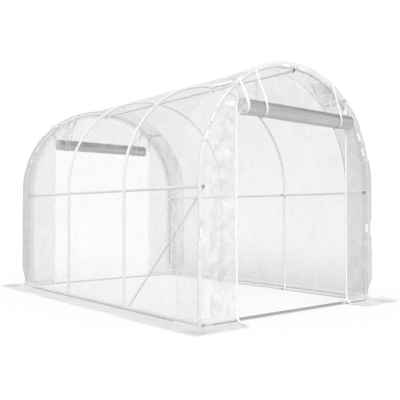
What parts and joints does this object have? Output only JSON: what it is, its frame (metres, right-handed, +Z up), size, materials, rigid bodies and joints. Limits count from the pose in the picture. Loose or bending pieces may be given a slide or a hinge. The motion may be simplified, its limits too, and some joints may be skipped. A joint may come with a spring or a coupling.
{
  "type": "polytunnel greenhouse",
  "caption": "Walk-in polytunnel with arched tube frame, translucent film cover, ground skirt and a rolled-up door at each end.",
  "frame": {"origin": "middle of the footprint, at ground level", "axes": "+X to the right seen from the front door, +Y from the front door to the rear door, +Z up"},
  "size_m": [2.4166, 3.4166, 2.0046],
  "materials": {
    "tube": "white powder coat over steel tube",
    "film": "translucent polyethylene film, lightly creased",
    "skirt": "translucent polyethylene film lying on the ground",
    "roll": "many layers of rolled film",
    "zip": "white zip tape",
    "strap": "white woven ribbon",
    "clip": "white moulded plastic"
  },
  "bodies": {
    "root": {"leg_front_left": "tube", "leg_front_right": "tube", "leg_mid_front_left": "tube", "leg_mid_front_right": "tube", "leg_mid_rear_left": "tube", "leg_mid_rear_right": "tube", "leg_rear_left": "tube", "leg_rear_right": "tube", "bow_front": "tube", "bow_mid_front": "tube", "bow_mid_rear": "tube", "bow_rear": "tube", "base_rail_left": "tube", "base_rail_right": "tube", "sill_front": "tube", "sill_rear": "tube", "side_purlin_left": "tube", "side_purlin_right": "tube", "ridge_purlin": "tube", "brace_left": "tube", "brace_right": "tube", "cover_wall_left": "film", "cover_wall_right": "film", "cover_roof": "film", "front_wall_left": "film", "front_wall_right": "film", "rear_wall_left": "film", "rear_wall_right": "film", "front_gable": "film", "rear_gable": "film", "skirt_left": "skirt", "skirt_right": "skirt", "skirt_front": "skirt", "skirt_rear": "skirt", "zips_front": "zip", "zips_rear": "zip", "door_roll_front": "roll", "door_roll_rear": "roll", "straps_front": "strap", "straps_rear": "strap", "clips_front": "clip", "clips_rear": "clip"}
  },
  "joints": []
}
